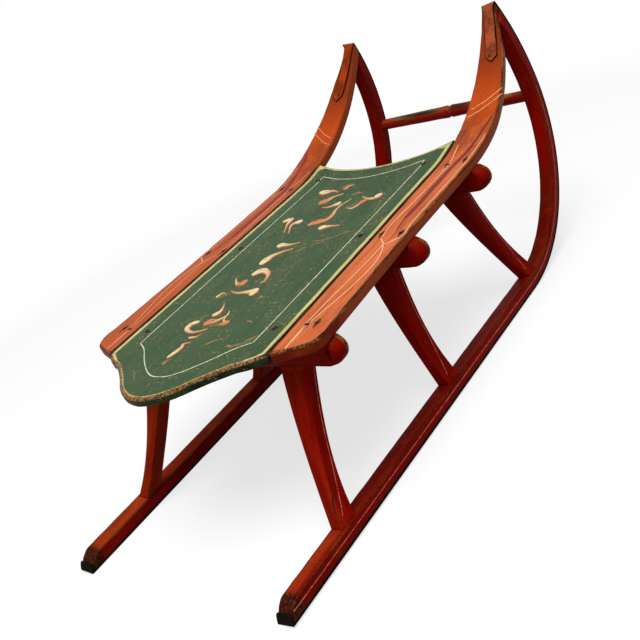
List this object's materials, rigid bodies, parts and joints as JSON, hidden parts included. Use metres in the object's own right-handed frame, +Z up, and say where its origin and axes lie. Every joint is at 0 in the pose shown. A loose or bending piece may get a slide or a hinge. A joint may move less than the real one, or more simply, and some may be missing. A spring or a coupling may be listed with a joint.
{
  "type": "bow-runner snow sled",
  "caption": "Painted wooden snow sled: shod bow runners, splayed legs, cross benches, side rails, deck board and a turned crossbar.",
  "frame": {"origin": "on the ground, at the bottom centre of the sled's bounding box", "axes": "+Z up, +Y forward towards the runner tips, +X to the rider's right"},
  "size_m": [0.38, 0.842, 0.3572],
  "materials": {
    "red_wood": "worn red paint over wood",
    "orange_wood": "worn orange-red paint over wood",
    "green_wood": "worn green paint with a cream line",
    "iron": "blackened strip, worn and slightly rusted"
  },
  "bodies": {
    "root": {"runner_right": "red_wood", "runner_left": "red_wood", "shoe_right": "iron", "shoe_left": "iron", "side_rail_right": "orange_wood", "side_rail_left": "orange_wood", "deck_board": "green_wood", "bench_rear": "red_wood", "bench_mid": "red_wood", "bench_front": "red_wood", "leg_rear_right": "red_wood", "leg_rear_left": "red_wood", "leg_mid_right": "red_wood", "leg_mid_left": "red_wood", "leg_front_right": "red_wood", "leg_front_left": "red_wood", "crossbar": "red_wood"}
  },
  "joints": []
}
